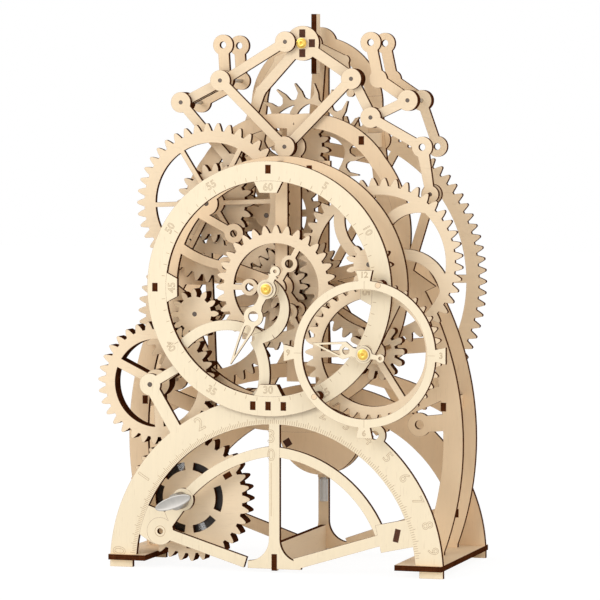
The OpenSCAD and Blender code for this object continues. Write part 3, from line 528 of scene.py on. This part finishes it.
def hand_outline(first, last, discs, necks):
    """Closed outline along the hand from its half width, taken over discs and straight necks."""
    upper = []
    for i in range(EDGE_STEPS + 1):
        u = first + (last - first) * i / EDGE_STEPS
        widths = [POINT]
        widths += [math.sqrt(r * r - (u - at) ** 2) for at, r in discs if abs(u - at) < r]
        widths += [w1 + (w2 - w1) * (u - u1) / (u2 - u1) for u1, w1, u2, w2 in necks if u1 <= u <= u2]
        upper.append((u, max(widths)))
    return upper + [(u, -w) for u, w in reversed(upper)]


def ring_outline(at, r):
    """Round outline of radius r on the hand's line, at that distance from the hub."""
    return [(at + r * math.cos(math.tau * i / RING_STEPS), r * math.sin(math.tau * i / RING_STEPS))
            for i in range(RING_STEPS)]


def mesh_of(curve, where):
    """Mesh of the curve, moved by the matrix; the curve is removed."""
    holder = bpy.data.objects.new("curve", curve)
    bpy.context.scene.collection.objects.link(holder)
    bpy.context.view_layer.update()
    shape = bpy.data.meshes.new_from_object(holder)
    shape.transform(where)
    bpy.data.objects.remove(holder)
    bpy.data.curves.remove(curve)
    return shape


def cut_sheet(outlines, hub, slope, d, thick):
    """Bmesh of a sheet with those outlines, its front at depth d, turned to the slope about its hub."""
    data = bpy.data.curves.new("outline", "CURVE")
    data.dimensions = "2D"
    data.fill_mode = "BOTH"
    data.extrude = thick / 2 * MM
    for outline in outlines:
        line = data.splines.new("POLY")
        line.points.add(len(outline) - 1)
        for point, (u, w) in zip(line.points, outline):
            point.co = (u * MM, w * MM, 0, 1)
        line.use_cyclic_u = True
    shape = mesh_of(data, placed(hub, d + thick / 2, slope) @ UPRIGHT)
    cut = bmesh.new()
    cut.from_mesh(shape)
    bpy.data.meshes.remove(shape)
    bmesh.ops.remove_doubles(cut, verts=cut.verts, dist=MERGE)
    bmesh.ops.recalc_face_normals(cut, faces=cut.faces)
    return cut


def hand(node, body, outlines, washer_r, hub, slope, d):
    """A hand and the washer on it."""
    stand_for(joined(cut_sheet(outlines, hub, slope, d, HAND_THICK),
                     cut_sheet([ring_outline(0, washer_r)], hub, slope, d - WASHER, WASHER)),
              node, body, [birch_dial])


# %% Minute hand
SLOT_AT, SLOT_R, SLOT_STEPS = 24, 1.9, 12
minute_edge = hand_outline(-13.6, 45.5, discs=[(0, 5.3), (16.5, 5.4), (-10.8, 2.8)],
                           necks=[(3, 2.4, 9, 1.9), (9, 1.9, 13, 3), (20, 3.3, 24.5, 3.4),
                                  (24.5, 3.4, 45.5, 0.25), (-9, 1.6, -3, 2.2), (-8.2, 3.1, -6.8, 1.8)])
slot_bends = [math.pi / 2 + math.pi * i / SLOT_STEPS for i in range(SLOT_STEPS + 1)]
minute_slot = [(SLOT_AT + SLOT_R * math.cos(a), SLOT_R * math.sin(a)) for a in slot_bends]
minute_slot += [(33, -1.15), (40.5, 0), (33, 1.15)]
hand("minute_hand", "centre_body",
     [minute_edge, ring_outline(16.5, 2.75), ring_outline(-10.8, 0.9), minute_slot],
     washer_r=3.8, hub=CENTRE, slope=243.5, d=MINUTE_HAND)

# %% Hour hand
hour_edge = hand_outline(-11.8, 28.5, discs=[(0, 4.8), (9.7, 3.4), (-9.5, 2.3)],
                         necks=[(3, 2.5, 6, 2.4), (6, 2.4, 10.5, 4.8), (10.5, 4.8, 28.5, 0.25),
                                (-9, 1.2, -3, 1.6)])
hour_slot = [(13.4, 0), (13.1, -1.5), (12.2, -2.7), (13.0, -3.0),
             (24.8, 0), (13.0, 3.0), (12.2, 2.7), (13.1, 1.5)]
hand("hour_hand", "hour_body",
     [hour_edge, ring_outline(9.7, 1.9), ring_outline(-9.5, 0.9), hour_slot],
     washer_r=3.6, hub=HOUR, slope=169, d=HOUR_HAND)

# %% [markdown]
# ## Engraving
# The same laser, at low power, draws the scales and the numerals as hair lines that only brown the
# veneer. Each line is a strip a few hundredths of a millimetre proud of the face, so that it stays crisp
# at any distance, and each numeral is an outline, as a laser draws it.

# %% Engraving helpers
SPOTS = 900
PROUD = 0.03
UNDER = 0.02
LINE = 0.26
NUMERAL_LINE = 0.11
NUMERAL_FLAT = Matrix.Diagonal((1, 1, 0.3, 1))
SIZE_OF_HEIGHT = 1.38
LOOP_STEPS = 32


def burnt(name, low, high, rough):
    """Matt finish of burnt wood, spotted with two browns."""
    s = Sheet(name)
    colour = mix(s, s.spot().scaled(SPOTS, SPOTS, SPOTS).noise(), low, high)
    return s.surface(s.node("BsdfPrincipled", {}, {"Base Color": colour, "Roughness": rough}))


engraved = burnt("engraved_line", (0.44, 0.30, 0.17), (0.60, 0.44, 0.27), 0.8)


def around(hub, r, slope):
    """The x and z of a point at radius r from the hub."""
    return (hub[0] + r * math.cos(math.radians(slope)), hub[1] + r * math.sin(math.radians(slope)))


class Engraving:
    """One mesh of strips and numerals on the front of the sheet whose face lies at depth d."""

    def __init__(self, name, d):
        self.name = name
        self.d = d
        self.mesh = bmesh.new()

    def strip(self, middle, slope, length, width=LINE, under=UNDER):
        """Straight line about middle, a little proud of the face and reaching down behind it by under."""
        thick = PROUD + under
        where = placed(middle, self.d - PROUD + thick / 2, slope)
        size = Matrix.Diagonal((length * MM, thick * MM, width * MM, 1))
        bmesh.ops.create_cube(self.mesh, size=1, matrix=where @ size)

    def ray(self, hub, slope, r1, r2, width=LINE):
        """Line that points away from the hub, from radius r1 to radius r2."""
        self.strip(around(hub, (r1 + r2) / 2, slope), slope, r2 - r1, width)

    def figure(self, words, middle, height, turn=0.0):
        """Outlined numerals centred on middle, turned anticlockwise."""
        data = bpy.data.curves.new("words", "FONT")
        data.body = words
        data.align_x = "CENTER"
        data.align_y = "CENTER"
        data.size = height * MM * SIZE_OF_HEIGHT
        data.fill_mode = "NONE"
        data.bevel_depth = NUMERAL_LINE * MM
        data.bevel_resolution = 0
        data.resolution_u = 3
        shape = mesh_of(data, placed(middle, self.d, turn) @ UPRIGHT @ NUMERAL_FLAT)
        self.mesh.from_mesh(shape)
        bpy.data.meshes.remove(shape)

    def loop(self, middle, r):
        """Circle made of short strips."""
        side = 2 * r * math.tan(math.pi / LOOP_STEPS)
        for k in range(LOOP_STEPS):
            slope = 360 * k / LOOP_STEPS
            self.strip(around(middle, r, slope), slope + 90, side)

    def done(self, body="stand", finish=engraved):
        """Make the piece, which rides on the body."""
        piece = object_of(self.mesh, self.name, [finish])
        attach(piece, body)


# %% [markdown]
# ### Minute dial
# Fine ticks stand on the dial's inner edge, apart from its four tabs. The numerals count minutes in
# fives: they turn with the ring in its upper half and are turned back in its lower half, so that none is
# upside down. The one on a tab stands nearer the centre.

# %% Minute scale
TICK_START, TICK_LONG, FIFTH_LONGER = 58.7, 1.9, 0.7
RING_R, TAB_R, MINUTE_HIGH = 64, 54.5, 4.1
minute_scale = Engraving("minute_scale", 0)
for minute in range(60):
    if minute % 15 == 0:
        continue
    longer = FIFTH_LONGER if minute % 5 == 0 else 0
    minute_scale.ray(CENTRE, 90 - 6 * minute, TICK_START, TICK_START + TICK_LONG + longer)
for minute in range(5, 61, 5):
    slope = 90 - 6 * minute
    turn = (slope + 90 if 15 < minute < 45 else slope - 90) % 360
    r = TAB_R if minute % 15 == 0 else RING_R
    minute_scale.figure(str(minute), around(CENTRE, r, slope), MINUTE_HIGH, turn)
minute_scale.done()

# %% [markdown]
# ### Tenon ends
# Where a tenon of a hidden cross piece comes through a sheet, its scorched end lies flush in the face.

# %% Tenon ends
tenon_end = burnt("tenon_end", SCORCH_DARK, SCORCH_WARM, 0.85)
BOB, BOB_FACE = (4, 68.5), 84
bob_ends = Engraving("bob_tenon_ends", BOB_FACE)
for side in (-19, 19):
    bob_ends.strip((BOB[0] + side, BOB[1] - 6), slope=32, length=4.2, width=4.2)
bob_ends.done("pendulum_body", tenon_end)

CREST_FACE = 50
crest_ends = Engraving("crest_tenon_ends", CREST_FACE)
for side, up in ((0, 5.4), (5.5, 0), (0, -5.4)):
    crest_ends.strip((CREST[0] + side, CREST[1] + up), slope=0, length=3.5, width=4.4)
crest_ends.done("stand", tenon_end)

ARCH_FACE = 3
pad_end = Engraving("pad_tenon_end", ARCH_FACE)
pad_end.strip((71, 22.4), slope=78, length=6.9, width=2.9, under=2.8)
pad_end.done("stand", tenon_end)

# %% [markdown]
# ### Hour dial
# The small ring carries a cross line at each quarter, and a numeral on each of its four tabs.

# %% Hour scale
SMALL_DIAL = -10
CROSS_IN, CROSS_OUT, CROSS_LINE = 34.7, 38.9, 0.18
HOUR_TAB_R, HOUR_HIGH = 42.1, 3.2
hour_scale = Engraving("hour_scale", SMALL_DIAL)
for hours, slope in ((12, 90), (3, 0), (6, -90), (9, 180)):
    hour_scale.ray(HOUR, slope, CROSS_IN, CROSS_OUT, CROSS_LINE)
    hour_scale.figure(str(hours), around(HOUR, HOUR_TAB_R, slope), HOUR_HIGH)
hour_scale.done()

# %% [markdown]
# ### Base arch
# The arch is engraved like a pair of rulers: three wide steps up its left side and nine narrow steps
# down its right side, with fine ticks along the inner edge. Below the crown of the arch its post carries
# two numerals and a line, and a small circle marks the left pad.

# %% Arch scale
ARCH, RULER_R = (2.5, 1.2), 79.4
LEFT_STEP, RIGHT_STEP = 28.4, 9.04
RULER_LINE, RULER_LONG, RULER_LONGER = 0.24, 2.1, 1.2
POST_X = 0.8
arch_scale = Engraving("arch_scale", ARCH_FACE)
for ticks, spacing in ((range(121), LEFT_STEP / 40), (range(1, 93), -RIGHT_STEP / 10)):
    for k in ticks:
        longer = RULER_LONGER if k % 5 == 0 else 0
        arch_scale.ray(ARCH, 90 + k * spacing, RULER_R, RULER_R + RULER_LONG + longer, RULER_LINE)
left_numerals = [(number, (3 - number) * LEFT_STEP, 88.6, 7.4) for number in range(3)]
right_numerals = [(number, -number * RIGHT_STEP, 89.4, 6.0) for number in range(1, 10)]
for number, turn, r, high in left_numerals + right_numerals:
    arch_scale.figure(str(number), around(ARCH, r, 90 + turn), high, turn)
arch_scale.figure("3", (POST_X, 73.4), 7.2)
arch_scale.figure("0", (POST_X, 63.4), 6.6)
arch_scale.strip((POST_X, 45), slope=90, length=29)
arch_scale.loop((-62.6, 20.2), 2.9)
arch_scale.done()

# %% [markdown]
# ## Studio
# The photograph is a bright product shot: white all round, soft light from the front, upper left, and
# shade only between the sheets. The floor and the world look white to the camera, and in metal, without
# more light on the object.


# %% Floor and world
def seen(sheet):
    """1 for what the camera sees, directly or in metal, and 0 for light on its way to the object."""
    kinds = ("Is Camera Ray", "Is Glossy Ray", "Is Transmission Ray")
    direct, glossy, through = (sheet.node("LightPath", output=kind) for kind in kinds)
    return direct.math("MAXIMUM", glossy).math("MAXIMUM", through)


WHITE = (1, 1, 1, 1)
FLOOR_SIZE = 4
paper = Sheet("paper")
lit_paper = paper.node("BsdfDiffuse", {}, {"Color": (0.95, 0.95, 0.95, 1)})
glow = paper.node("Emission", {}, {"Color": WHITE, "Strength": 1.08})
pad = bmesh.new()
bmesh.ops.create_grid(pad, x_segments=1, y_segments=1, size=FLOOR_SIZE)
floor = object_of(pad, "floor", [paper.between(seen(paper) * 0.84, lit_paper, glow)])

sky = Sheet("studio", bpy.data.worlds, "OutputWorld")
lit_sky = sky.node("Background", {}, {"Color": (1.0, 0.985, 0.96, 1), "Strength": 0.72})
white_sky = sky.node("Background", {}, {"Color": WHITE, "Strength": 1.0})
bpy.context.scene.world = sky.between(seen(sky), lit_sky, white_sky)


# %% Lamps
def softbox(name, spot, width, power):
    """Square lamp at spot, turned to the middle of the clock."""
    data = bpy.data.lights.new(name, "AREA")
    data.size = width
    data.energy = power
    lamp = bpy.data.objects.new(name, data)
    bpy.context.scene.collection.objects.link(lamp)
    lamp.location = spot
    aim = Vector((0, 0, 0.15)) - Vector(spot)
    lamp.rotation_euler = aim.to_track_quat("-Z", "Y").to_euler()
    print(name, "stands", round(aim.length, 2), "m from the clock")


softbox("key_light", (-0.80, -1.40, 0.85), width=0.8, power=9.5)
softbox("fill_light", (1.3, -1.3, 0.5), width=0.9, power=3.0)
bpy.context.scene.view_settings.view_transform = "Standard"
